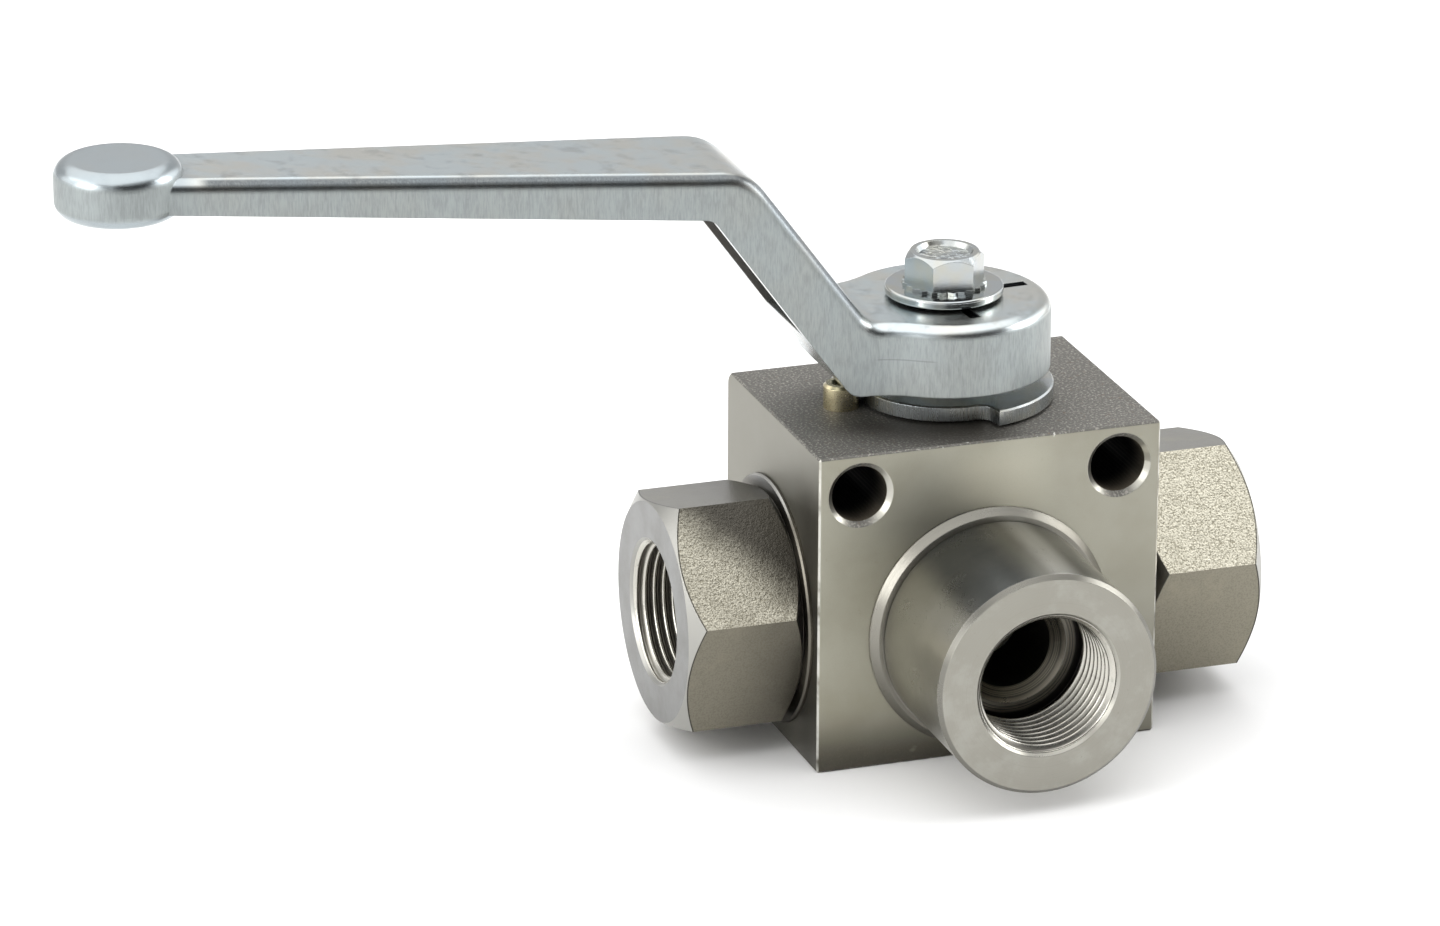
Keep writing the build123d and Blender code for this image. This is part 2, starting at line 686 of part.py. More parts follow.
with BuildPart() as tooth_washer:
    with BuildSketch(Plane.XY.offset(WASHER_TOP)):
        with BuildLine():
            tooth_step = 180 / TOOTH_COUNT
            outline = [
                polar(TOOTH_WASHER_R if index % 2 else TOOTH_WASHER_ROOT_R, index * tooth_step)
                for index in range(2 * TOOTH_COUNT)
            ]
            Polyline(*outline, close=True)
        make_face()
        Circle(WASHER_BORE_R, mode=Mode.SUBTRACT)
    extrude(amount=TOOTH_WASHER_THICKNESS)
save(tooth_washer, "tooth_washer")

with BuildPart() as lever_screw:
    vertex_r = SCREW_ACROSS_FLATS / 2 / cos(pi / 6)
    chamfer_drop = (vertex_r - SCREW_FACE_R) * tan(radians(SCREW_CHAMFER_DEG))
    with BuildSketch(Plane.XY.offset(HEAD_BOTTOM)):
        RegularPolygon(SCREW_ACROSS_FLATS / 2, 6, major_radius=False, rotation=SCREW_TURN_DEG)
    extrude(amount=SCREW_HEAD_HEIGHT)
    with BuildSketch(Plane.XZ):
        with BuildLine():
            Polyline(
                (0, HEAD_BOTTOM),
                (vertex_r, HEAD_BOTTOM),
                (vertex_r, HEAD_TOP - chamfer_drop),
                (SCREW_FACE_R, HEAD_TOP),
                (0, HEAD_TOP),
                close=True,
            )
        make_face()
    revolve(axis=Axis.Z, mode=Mode.INTERSECT)
    with BuildSketch(Plane.XY.offset(HEAD_TOP)):
        Circle(SCREW_DISH_R)
    extrude(amount=-SCREW_DISH_DEPTH, taper=SCREW_DISH_TAPER_DEG, mode=Mode.SUBTRACT)
    with BuildSketch(Plane.XY.offset(HEAD_BOTTOM)):
        Circle(SCREW_R)
    extrude(amount=-SCREW_LENGTH)
save(lever_screw, "lever_screw")
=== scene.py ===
"""Looks of a three-way block ball valve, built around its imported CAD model.

Everything is in the model's own frame: +X out of the right-hand port, -Y out of the front port
and +Z up the stem. Sizes in the classes are millimetres, and Blender objects are in metres.
"""

import logging
import math
from dataclasses import dataclass
from enum import Enum
from typing import Any, Sequence, Union

import bpy
from mathutils import Matrix, Vector


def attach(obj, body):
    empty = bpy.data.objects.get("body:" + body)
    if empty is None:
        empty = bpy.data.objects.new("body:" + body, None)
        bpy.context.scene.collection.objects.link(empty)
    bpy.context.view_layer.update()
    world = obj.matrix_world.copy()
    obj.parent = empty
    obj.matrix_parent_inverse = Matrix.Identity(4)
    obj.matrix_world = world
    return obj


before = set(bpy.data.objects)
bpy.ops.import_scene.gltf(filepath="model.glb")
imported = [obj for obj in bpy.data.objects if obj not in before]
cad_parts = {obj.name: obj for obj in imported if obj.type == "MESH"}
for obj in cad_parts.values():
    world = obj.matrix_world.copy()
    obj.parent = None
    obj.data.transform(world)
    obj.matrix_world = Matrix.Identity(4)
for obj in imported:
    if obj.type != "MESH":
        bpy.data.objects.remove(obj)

MM = 0.001
HOUSING = "housing"

Colour = tuple[float, float, float]
Span = tuple[float, float]

PORT_HEIGHT = 25.0
BORE_WALL: Span = (8.15, 7.95)
# Near-black painted shade for the inside of bores.
BORE_SHADE: Colour = (0.006, 0.006, 0.007)
END_FACE: Span = (0.8, 0.95)

log = logging.getLogger("valve")


# ---------------------------------------------------------------- shader tools


@dataclass(frozen=True)
class Field:
    """A shader socket that varies over a surface; arithmetic on a number adds Math nodes."""

    bench: "Bench"
    socket: bpy.types.NodeSocket

    def __add__(self, other: "Number") -> "Field":
        """Sum."""
        return self.bench.math("ADD", self, other)

    def __radd__(self, other: "Number") -> "Field":
        """Sum, number first."""
        return self.bench.math("ADD", other, self)

    def __sub__(self, other: "Number") -> "Field":
        """Difference."""
        return self.bench.math("SUBTRACT", self, other)

    def __rsub__(self, other: "Number") -> "Field":
        """Difference, number first."""
        return self.bench.math("SUBTRACT", other, self)

    def __mul__(self, other: "Number") -> "Field":
        """Product."""
        return self.bench.math("MULTIPLY", self, other)

    def __rmul__(self, other: "Number") -> "Field":
        """Product, number first."""
        return self.bench.math("MULTIPLY", other, self)

    def __abs__(self) -> "Field":
        """Size without its sign."""
        return self.bench.math("ABSOLUTE", self)

    def at_most(self, other: "Number") -> "Field":
        """The smaller of the two."""
        return self.bench.math("MINIMUM", self, other)

    def at_least(self, other: "Number") -> "Field":
        """The larger of the two."""
        return self.bench.math("MAXIMUM", self, other)

    def rise(self, low: float, high: float) -> "Field":
        """Smooth step from 0 at low to 1 at high.

        Args:
            low: Value where the step is 0.
            high: Value where the step is 1; it may be the smaller of the two.

        Returns:
            The step, from 0 to 1.
        """
        start, end = min(low, high), max(low, high)
        settings = {"interpolation_type": "SMOOTHSTEP"}
        inputs = {"Value": self, "From Min": start, "From Max": end}
        step = self.bench.add("ShaderNodeMapRange", settings, inputs)
        return step if low < high else 1 - step

    def band(self, centre: "Number", half_width: float) -> "Field":
        """1 where the value is at the centre, falling to 0 half a width away."""
        return abs(self - centre).rise(half_width, half_width * 0.3)

    def sibling(self, output: str) -> "Field":
        """Another output of the node that this one comes from."""
        return Field(self.bench, self.socket.node.outputs[output])


Number = Union[Field, float]


class NodeBench:
    """A node workbench: adds nodes and does sums and colour mixes with them."""

    def __init__(self, tree: bpy.types.NodeTree) -> None:
        """Starts on an empty node tree.

        Args:
            tree: The tree to work in.
        """
        self.tree = tree
        self.tree.nodes.clear()

    def add(
        self,
        kind: str,
        settings: dict[str, Any] | None = None,
        inputs: dict[str | int, Any] | None = None,
        output: str | int = 0,
    ) -> Field:
        """Adds one node.

        Args:
            kind: The node's type.
            settings: Its own settings, set before anything is joined to it.
            inputs: Values or fields for its sockets, by name or index.
            output: The output wanted.

        Returns:
            The output as a field.
        """
        node = self.tree.nodes.new(kind)
        for name, value in (settings or {}).items():
            setattr(node, name, value)
        for name, value in (inputs or {}).items():
            if isinstance(value, Field):
                self.tree.links.new(value.socket, node.inputs[name])
            else:
                node.inputs[name].default_value = value
        return Field(self, node.outputs[output])

    def math(self, operation: str, *terms: Number) -> Field:
        """Adds a Math node.

        Args:
            operation: The node's operation.
            terms: Its values, in order.

        Returns:
            The result.
        """
        return self.add("ShaderNodeMath", {"operation": operation}, dict(enumerate(terms)))

    def blend(self, share: Number, first: Field | Colour, second: Field | Colour) -> Field:
        """Mixes two colours.

        Args:
            share: How much of the second shows.
            first: The colour at 0.
            second: The colour at 1.

        Returns:
            The mixed colour.
        """
        inputs = {0: share}
        for index, colour in ((6, first), (7, second)):
            inputs[index] = colour if isinstance(colour, Field) else (*colour, 1.0)
        return self.add("ShaderNodeMix", {"data_type": "RGBA"}, inputs, output=2)


class Bench(NodeBench):
    """The node workbench of one material, with the surface's place and facing at hand."""

    def __init__(self, name: str) -> None:
        """Starts an empty material.

        Args:
            name: The material's name.
        """
        self.material = bpy.data.materials.new(name)
        self.material.use_nodes = True
        super().__init__(self.material.node_tree)
        metres = self.add("ShaderNodeTexCoord", output="Object")
        self.facing = metres.sibling("Normal")
        self.place = self.add(
            "ShaderNodeVectorMath", {"operation": "SCALE"}, {"Vector": metres, "Scale": 1 / MM}
        )
        self.x = self.add("ShaderNodeSeparateXYZ", inputs={"Vector": self.place})
        self.y, self.z = self.x.sibling("Y"), self.x.sibling("Z")
        self.nx = self.add("ShaderNodeSeparateXYZ", inputs={"Vector": self.facing})
        self.ny, self.nz = self.nx.sibling("Y"), self.nx.sibling("Z")

    def stretched(self, stretch: Sequence[float]) -> Field:
        """The place with each axis scaled, so that a pattern runs long where the scale is small."""
        inputs = {0: self.place, 1: tuple(stretch)}
        return self.add("ShaderNodeVectorMath", {"operation": "MULTIPLY"}, inputs)

    def noise(
        self, size: float, detail: float = 2.0, stretch: Sequence[float] = (1, 1, 1), shift: float = 0
    ) -> Field:
        """Soft random pattern.

        Args:
            size: Size of its largest feature, in millimetres.
            detail: Octaves of finer noise on top.
            stretch: Scale of each axis.
            shift: Moves the pattern to another part of the noise.

        Returns:
            The pattern, about 0.5 on average.
        """
        inputs = {
            "Vector": self.stretched(stretch),
            "W": shift,
            "Scale": 1 / size,
            "Detail": detail,
            "Roughness": 0.6,
        }
        return self.add("ShaderNodeTexNoise", {"noise_dimensions": "4D"}, inputs)

    def rings(self, distance: Field, size: float, detail: float, roughness: float) -> Field:
        """Random pattern that changes with one distance only, such as turning marks.

        Args:
            distance: The distance, in millimetres.
            size: Size of its largest feature, in millimetres.
            detail: Octaves of finer noise on top.
            roughness: How strong the finer noise is.

        Returns:
            The pattern, about 0.5 on average.
        """
        inputs = {"W": distance, "Scale": 1 / size, "Detail": detail, "Roughness": roughness}
        return self.add("ShaderNodeTexNoise", {"noise_dimensions": "1D"}, inputs)

    def radius(self, axis: "PortAxis") -> Field:
        """Distance from a port's or the stem's axis, in millimetres."""
        inputs = {0: self.place, 1: axis.centre}
        across = self.add("ShaderNodeVectorMath", {"operation": "SUBTRACT"}, inputs)
        flat = self.add("ShaderNodeVectorMath", {"operation": "MULTIPLY"}, {0: across, 1: axis.across})
        return self.add("ShaderNodeVectorMath", {"operation": "LENGTH"}, {0: flat}, output="Value")

    def relief(self, height: Field, depth: float, rounding: float = 0.0) -> Field:
        """Normal of a surface with a fine relief.

        Args:
            height: The relief, from 0 to 1.
            depth: Depth of the relief in millimetres.
            rounding: Radius that sharp edges are seen with, in millimetres.

        Returns:
            The normal.
        """
        inputs = {"Height": height, "Distance": depth * MM, "Strength": 1.0}
        if rounding:
            bevel = {"Radius": rounding * MM}
            inputs["Normal"] = self.add("ShaderNodeBevel", {"samples": 4}, bevel)
        return self.add("ShaderNodeBump", inputs=inputs)

    def finish(
        self,
        colour: Field | Colour,
        roughness: Number,
        normal: Field,
        metallic: Number = 1.0,
        constants: dict[str, float] | None = None,
    ) -> bpy.types.Material:
        """Joins everything to the surface.

        Args:
            colour: Base colour.
            roughness: Roughness.
            normal: Normal, from a relief.
            metallic: 1 for bare metal, 0 for plastic and rubber.
            constants: Other sockets of the surface that are the same all over.

        Returns:
            The material.
        """
        base = colour if isinstance(colour, Field) else (*colour, 1.0)
        inputs = {
            "Base Color": base,
            "Roughness": roughness,
            "Metallic": metallic,
            "Normal": normal,
            **(constants or {}),
        }
        surface = self.add("ShaderNodeBsdfPrincipled", inputs=inputs)
        output = self.tree.nodes.new("ShaderNodeOutputMaterial")
        self.tree.links.new(surface.socket, output.inputs["Surface"])
        return self.material


class PortAxis(Enum):
    """The axes that pieces are turned about."""

    SIDE = ((0.0, 0.0, PORT_HEIGHT), (0.0, 1.0, 1.0))
    FRONT = ((0.0, 0.0, PORT_HEIGHT), (1.0, 0.0, 1.0))
    STEM = ((0.0, 0.0, 0.0), (1.0, 1.0, 0.0))

    @property
    def centre(self) -> tuple[float, float, float]:
        """A point on the axis."""
        return self.value[0]

    @property
    def across(self) -> tuple[float, float, float]:
        """1 for each direction across the axis."""
        return self.value[1]

    @property
    def along(self) -> int:
        """Index of the direction along the axis."""
        return self.across.index(0.0)


# ---------------------------------------------------------------- finishes
#
# A span names where a patch starts to show and where it is full, in millimetres, or in radians
# where its name says angle.


@dataclass(frozen=True)
class BlockSteel:
    """Plated block: milled front and ends, raw rolled top, back and bottom, drilled holes painted dark
    inside as shade.
    """

    half_width: float = 33.0
    half_depth: float = 25.5
    height: float = 61.0
    hole_x: float = 25.0
    hole_z: float = 53.3
    hole_wall: Span = (5.33, 5.23)
    hole_chamfer: Span = (6.25, 6.15)
    lit_wall_depth: Span = (9.0, 0.0)
    warm_height: Span = (34.0, -8.0)
    right_shade_x: Span = (2.0, 26.0)
    right_shade_height: Span = (40.0, 14.0)
    highlight_x: float = 1.0
    highlight_half_width: Span = (14.0, 3.0)
    highlight_foot: Span = (38.0, 50.0)
    highlight_head: Span = (62.0, 55.0)
    strip_y: Span = (-10.0, -21.0)
    strip_height: Span = (57.0, 48.0)
    contact_shadow_height: Span = (13.0, 1.0)
    contact_shadow_x: Span = (29.0, 18.0)
    shade_radius: Span = (33.0, 19.0)
    shade_x: Span = (13.0, -1.0)
    shade_y: Span = (-3.0, -14.0)
    wear_reach: Span = (0.42, 0.30)
    ding_reach: Span = (0.80, 0.35)
    milled: Colour = (0.400, 0.390, 0.325)
    milled_warm: Colour = (0.300, 0.283, 0.215)
    milled_shaded: Colour = (0.210, 0.203, 0.172)
    milled_highlight: Colour = (0.56, 0.54, 0.44)
    end_grey: Colour = (0.235, 0.228, 0.198)
    shade_and_oxide_dark: Colour = (0.055, 0.050, 0.042)
    worn_bright: Colour = (0.80, 0.79, 0.74)
    raw: Colour = (0.165, 0.160, 0.148)
    raw_light: Colour = (0.46, 0.445, 0.405)
    raw_rust: Colour = (0.20, 0.13, 0.08)
    bore_shade_black: Colour = (0.006, 0.006, 0.008)
    bore_lit_brown: Colour = (0.150, 0.130, 0.100)

    def make(self) -> bpy.types.Material:
        """Makes the material."""
        bench = Bench("block_steel")
        raw = (abs(bench.nz).rise(0.45, 0.75) + bench.ny.rise(0.45, 0.75)).at_most(1.0)
        clouds = bench.noise(14, 3)
        grain = bench.noise(0.2, 3)
        scale = bench.noise(0.5, 4, shift=3)
        patches = bench.noise(7, 3, shift=7)
        milled = self.milled_colour(bench, clouds, grain)
        rolled = self.rolled_colour(bench, scale, patches)
        colour = bench.blend(raw, milled, rolled)

        hole = self.hole_distance(bench)
        inside = hole.rise(*self.hole_wall)
        chamfer = hole.rise(*self.hole_chamfer) * (1 - raw)
        worn = self.worn_edge(bench)
        colour = bench.blend(chamfer * 0.35, colour, self.worn_bright)
        colour = bench.blend(worn, colour, self.worn_bright)
        # Mounting holes: painted shade inside, with painted light in brown on the wall near each mouth.
        from_mouth = abs(abs(bench.y) - self.half_depth)
        near_mouth = from_mouth.rise(*self.lit_wall_depth)
        wall = bench.blend(near_mouth, self.bore_shade_black, self.bore_lit_brown)
        colour = bench.blend(inside, colour, wall)

        rough = 0.38 + clouds * 0.08 + grain * 0.06
        rough = rough * (1 - raw) + raw * (0.55 + scale * 0.2)
        rough = rough - chamfer * 0.16 - worn * 0.15 + inside * 0.3
        height = raw * (scale * 0.8 + patches * 0.2) + (1 - raw) * grain * 0.045
        return bench.finish(colour, rough, bench.relief(height, 0.10, 0.3))

    def milled_colour(self, bench: Bench, clouds: Field, grain: Field) -> Field:
        """Colour of the milled faces: a painted highlight over the front port, warmer and darker
        towards the bottom, painted shade on the right and a painted contact shadow along the front's
        bottom.

        Args:
            bench: The material's bench.
            clouds: A soft wide pattern.
            grain: A fine pattern.

        Returns:
            The colour.
        """
        stains = bench.noise(2.6, 4, shift=11)
        warmth = clouds.rise(0.35, 0.7) * 0.4 + bench.z.rise(*self.warm_height) * 0.5
        milled = bench.blend(warmth.at_most(1.0), self.milled, self.milled_warm)
        # Painted shade: the right part of the milled faces is darker, more so low down.
        right_shade = bench.x.rise(*self.right_shade_x) * (0.3 + bench.z.rise(*self.right_shade_height) * 0.45)
        milled = bench.blend(right_shade, milled, self.milled_shaded)

        # Painted highlight: a lighter patch high on the front over the front port, in place of a
        # reflection.
        front = bench.ny.rise(-0.5, -0.9)
        upper = bench.z.rise(*self.highlight_foot) * bench.z.rise(*self.highlight_head)
        highlight = abs(bench.x - self.highlight_x).rise(*self.highlight_half_width) * upper * front
        milled = bench.blend(highlight * (0.25 + clouds * 0.5), milled, self.milled_highlight)
        end = abs(bench.nx).rise(0.5, 0.9)
        milled = bench.blend(end * 0.9, milled, self.end_grey)

        # Painted contact shadow along the bottom of the front, except at its right end; the end faces
        # also get a darker strip along their top front edge.
        strip = end * bench.y.rise(*self.strip_y) * bench.z.rise(*self.strip_height) * 0.7
        contact_shadow = front * bench.z.rise(*self.contact_shadow_height) * bench.x.rise(*self.contact_shadow_x) * 0.85
        milled = bench.blend((strip + contact_shadow).at_most(0.9), milled, self.shade_and_oxide_dark)
        milled = bench.blend(stains.rise(0.62, 0.74) * 0.3, milled, self.milled_warm)
        return bench.blend(grain.rise(0.45, 0.75) * 0.12, milled, self.milled_warm)

    def rolled_colour(self, bench: Bench, scale: Field, patches: Field) -> Field:
        """Colour of the raw faces: light specks, a little rust, and painted shade with some darker
        oxide by the stop disc.

        Args:
            bench: The material's bench.
            scale: A fine pattern, the mill scale.
            patches: A wider pattern, where the specks are brighter.

        Returns:
            The colour.
        """
        light = scale.rise(0.50, 0.62) * (0.30 + patches * 0.7)
        rolled = bench.blend(light, self.raw, self.raw_light)
        rust = bench.noise(0.9, 3, shift=5).rise(0.6, 0.72)
        rolled = bench.blend(rust * 0.45, rolled, self.raw_rust)
        # Painted shade, with some darker oxide, on the top near the stop disc, mostly to its left and
        # front.
        near_disc = bench.radius(PortAxis.STEM).rise(*self.shade_radius)
        shade = near_disc * bench.x.rise(*self.shade_x) * bench.y.rise(*self.shade_y)
        return bench.blend(shade * bench.nz.rise(0.5, 0.9) * 0.8, rolled, self.shade_and_oxide_dark)

    def worn_edge(self, bench: Bench) -> Field:
        """Bright wear on the front's long edges, and a few small dings along the top one."""
        from_front = abs(bench.y + self.half_depth)
        from_end = abs(abs(bench.x) - self.half_width)
        from_top = abs(bench.z - self.height)
        wear = bench.noise(3.5, 2, shift=13).rise(0.3, 0.6)
        dings = bench.noise(1.3, 2, shift=17).rise(0.66, 0.72)
        upright = from_front.at_least(from_end).rise(*self.wear_reach)
        along_top = from_front.at_least(from_top).rise(*self.ding_reach)
        return (upright * wear * 0.6 + along_top * dings * 0.7).at_most(1.0)

    def hole_distance(self, bench: Bench) -> Field:
        """Distance from the nearer mounting hole's axis, in millimetres."""
        across = abs(bench.x) - self.hole_x
        up = bench.z - self.hole_z
        return bench.math("SQRT", across * across + up * up)


@dataclass(frozen=True)
class TurnedLook:
    """Turning marks: fine grooves round an axis, on cylinders and on faces square to it."""

    axis: PortAxis
    groove_size: float = 0.16

    def marks(self, bench: Bench) -> tuple[Field, Field, Field]:
        """Works out the marks.

        Args:
            bench: The material's bench.

        Returns:
            Distance from the axis, how much the surface faces along it, and the groove height.
        """
        radius = bench.radius(self.axis)
        along = (bench.x, bench.y, bench.z)[self.axis.along]
        facing = abs((bench.nx, bench.ny, bench.nz)[self.axis.along])
        end_face = facing.rise(0.35, 0.9)
        travel = along * (1 - end_face) + radius * end_face
        return radius, facing, bench.rings(travel, self.groove_size, 3.0, 0.65)


@dataclass(frozen=True)
class BarrelSteel:
    """Plated round barrel, turned all over, with a ringed shoulder and a bore inside painted black as
    shade.
    """

    axis: PortAxis = PortAxis.FRONT
    ring_size: float = 0.45
    dark_angle: float = 2.02
    dark_half_angle: Span = (0.46, 0.16)
    faint_angle: float = 1.10
    faint_half_angle: Span = (0.20, 0.05)
    streak_angle: float = 1.40
    streak_half_angle: Span = (0.20, 0.03)
    rim_radius: Span = (20.0, 20.4)
    collar_radius: Span = (21.1, 21.3)
    collar_shade_height: Span = (48.0, 41.0)
    cavity_radius: Span = (14.0, 13.5)
    cavity_y: Span = (-41.2, -40.9)
    undercut_radius: Span = (11.6, 12.7)
    bright: Colour = (0.430, 0.420, 0.378)
    dull: Colour = (0.345, 0.333, 0.285)
    scratch: Colour = (0.22, 0.21, 0.18)
    shoulder: Colour = (0.62, 0.575, 0.49)
    face_grey: Colour = (0.310, 0.300, 0.262)
    face_bloom: Colour = (0.40, 0.395, 0.36)
    rim_shade_grey: Colour = (0.13, 0.126, 0.110)
    highlight_streak: Colour = (0.90, 0.89, 0.84)
    dark_reflection: Colour = (0.120, 0.130, 0.142)
    collar_shade_grey: Colour = (0.25, 0.24, 0.21)

    def make(self) -> bpy.types.Material:
        """Makes the material."""
        bench = Bench("barrel_steel")
        radius, facing, grooves = TurnedLook(self.axis).marks(bench)
        clouds = bench.noise(9, 3)
        grain = bench.noise(0.2, 2, shift=2)
        rings = bench.rings(radius, self.ring_size, 2.0, 0.7)
        face = facing.rise(*END_FACE)
        cavity = radius.rise(*self.cavity_radius) * bench.y.rise(*self.cavity_y)
        inside = radius.rise(*BORE_WALL)

        colour = bench.blend(clouds.rise(0.3, 0.75) * 0.6, self.bright, self.dull)
        colour = bench.blend(grain.rise(0.5, 0.75) * 0.18, colour, self.scratch)
        strokes = bench.noise(0.9, 2, stretch=(1.0, 0.12, 1.0), shift=9).rise(0.7, 0.76)
        colour = bench.blend(strokes * 0.35, colour, self.scratch)
        colour = self.side_colour(bench, colour, facing.rise(0.5, 0.2), clouds)
        colour = self.face_colour(bench, colour, face, grooves)
        # Painted shade: the outer chamfer at the barrel's end is painted dark, in place of its
        # highlight.
        chamfer = facing.band(0.7, 0.25) * radius.rise(*self.rim_radius)
        colour = bench.blend(chamfer * 0.8, colour, self.rim_shade_grey)
        # Painted shade on the collar at the block, all but its top.
        collar = radius.rise(*self.collar_radius) * bench.z.rise(*self.collar_shade_height)
        colour = bench.blend(collar, colour, self.collar_shade_grey)

        colour = bench.blend(cavity * 0.9, colour, self.shoulder)
        colour = bench.blend(cavity * rings.rise(0.42, 0.58) * 0.85, colour, self.scratch)
        # Painted shadow in the undercut behind the shoulder, and painted shade down the bore.
        undercut = cavity * radius.rise(*self.undercut_radius)
        colour = bench.blend(undercut * 0.92, colour, BORE_SHADE)
        colour = bench.blend(inside, colour, BORE_SHADE)

        rough = 0.22 + clouds * 0.08 + grain * 0.05 + face * 0.14 + inside * 0.3
        height = grooves * (1 - face * 0.6) * 0.9 + grain * 0.1 + cavity * rings * 1.5
        return bench.finish(colour, rough, bench.relief(height, 0.022, 0.25))

    def side_colour(self, bench: Bench, colour: Field, side: Field, clouds: Field) -> Field:
        """Adds the bands that run along the barrel: two dark ones, a painted reflection of the shaded
        block face, and a bright streak, a painted highlight.

        Args:
            bench: The material's bench.
            colour: The colour so far.
            side: 1 on the round side.
            clouds: A soft wide pattern.

        Returns:
            The colour.
        """
        # Painted reflection: dark bands and a bright highlight streak along the barrel's side.
        angle = bench.math("ARCTAN2", bench.z - PORT_HEIGHT, bench.x)
        dark = abs(angle - self.dark_angle).rise(*self.dark_half_angle)
        faint = abs(angle - self.faint_angle).rise(*self.faint_half_angle)
        bands = side * (dark + faint * 0.35) * (0.55 + clouds * 0.4)
        colour = bench.blend(bands, colour, self.dark_reflection)
        highlight_streak = side * abs(angle - self.streak_angle).rise(*self.streak_half_angle)
        return bench.blend(highlight_streak * 0.95, colour, self.highlight_streak)

    def face_colour(self, bench: Bench, colour: Field, face: Field, grooves: Field) -> Field:
        """Greys the end face and adds its pale bloom, turning marks and specks.

        Args:
            bench: The material's bench.
            colour: The colour so far.
            face: 1 on the end face.
            grooves: The turning marks.

        Returns:
            The colour.
        """
        colour = bench.blend(face * 0.85, colour, self.face_grey)
        bloom = bench.noise(5, 4, shift=31).rise(0.46, 0.66)
        colour = bench.blend(face * bloom * 0.5, colour, self.face_bloom)
        specks = bench.noise(0.7, 3, shift=33).rise(0.66, 0.74)
        marks = face * (grooves.rise(0.5, 0.7) * 0.14 + specks * 0.4)
        return bench.blend(marks, colour, self.scratch)


